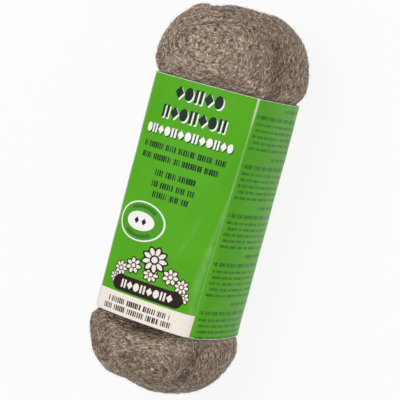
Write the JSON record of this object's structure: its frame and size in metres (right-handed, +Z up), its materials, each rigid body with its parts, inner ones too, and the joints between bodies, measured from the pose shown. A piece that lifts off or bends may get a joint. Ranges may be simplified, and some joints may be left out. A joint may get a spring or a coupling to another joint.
{
  "type": "steel wool",
  "caption": "Soft roll of fine steel wool with domed ends, held in a creased printed paper sleeve, lying on its back.",
  "frame": {"origin": "under the middle of the roll, on the surface that it lies on", "axes": "+Y along the roll towards the top of the sleeve's print, +Z up through the sleeve's front panel, +X towards the side panel at the print's right"},
  "size_m": [0.0838, 0.2196, 0.0722],
  "materials": {
    "steel_wool": "fine tangled steel fibres, brown-grey with small bright glints",
    "green_paper": "coated paper printed bright green, softly glossy, creased"
  },
  "bodies": {
    "root": {"wool_roll": "steel_wool", "paper_sleeve": "green_paper"}
  },
  "joints": []
}
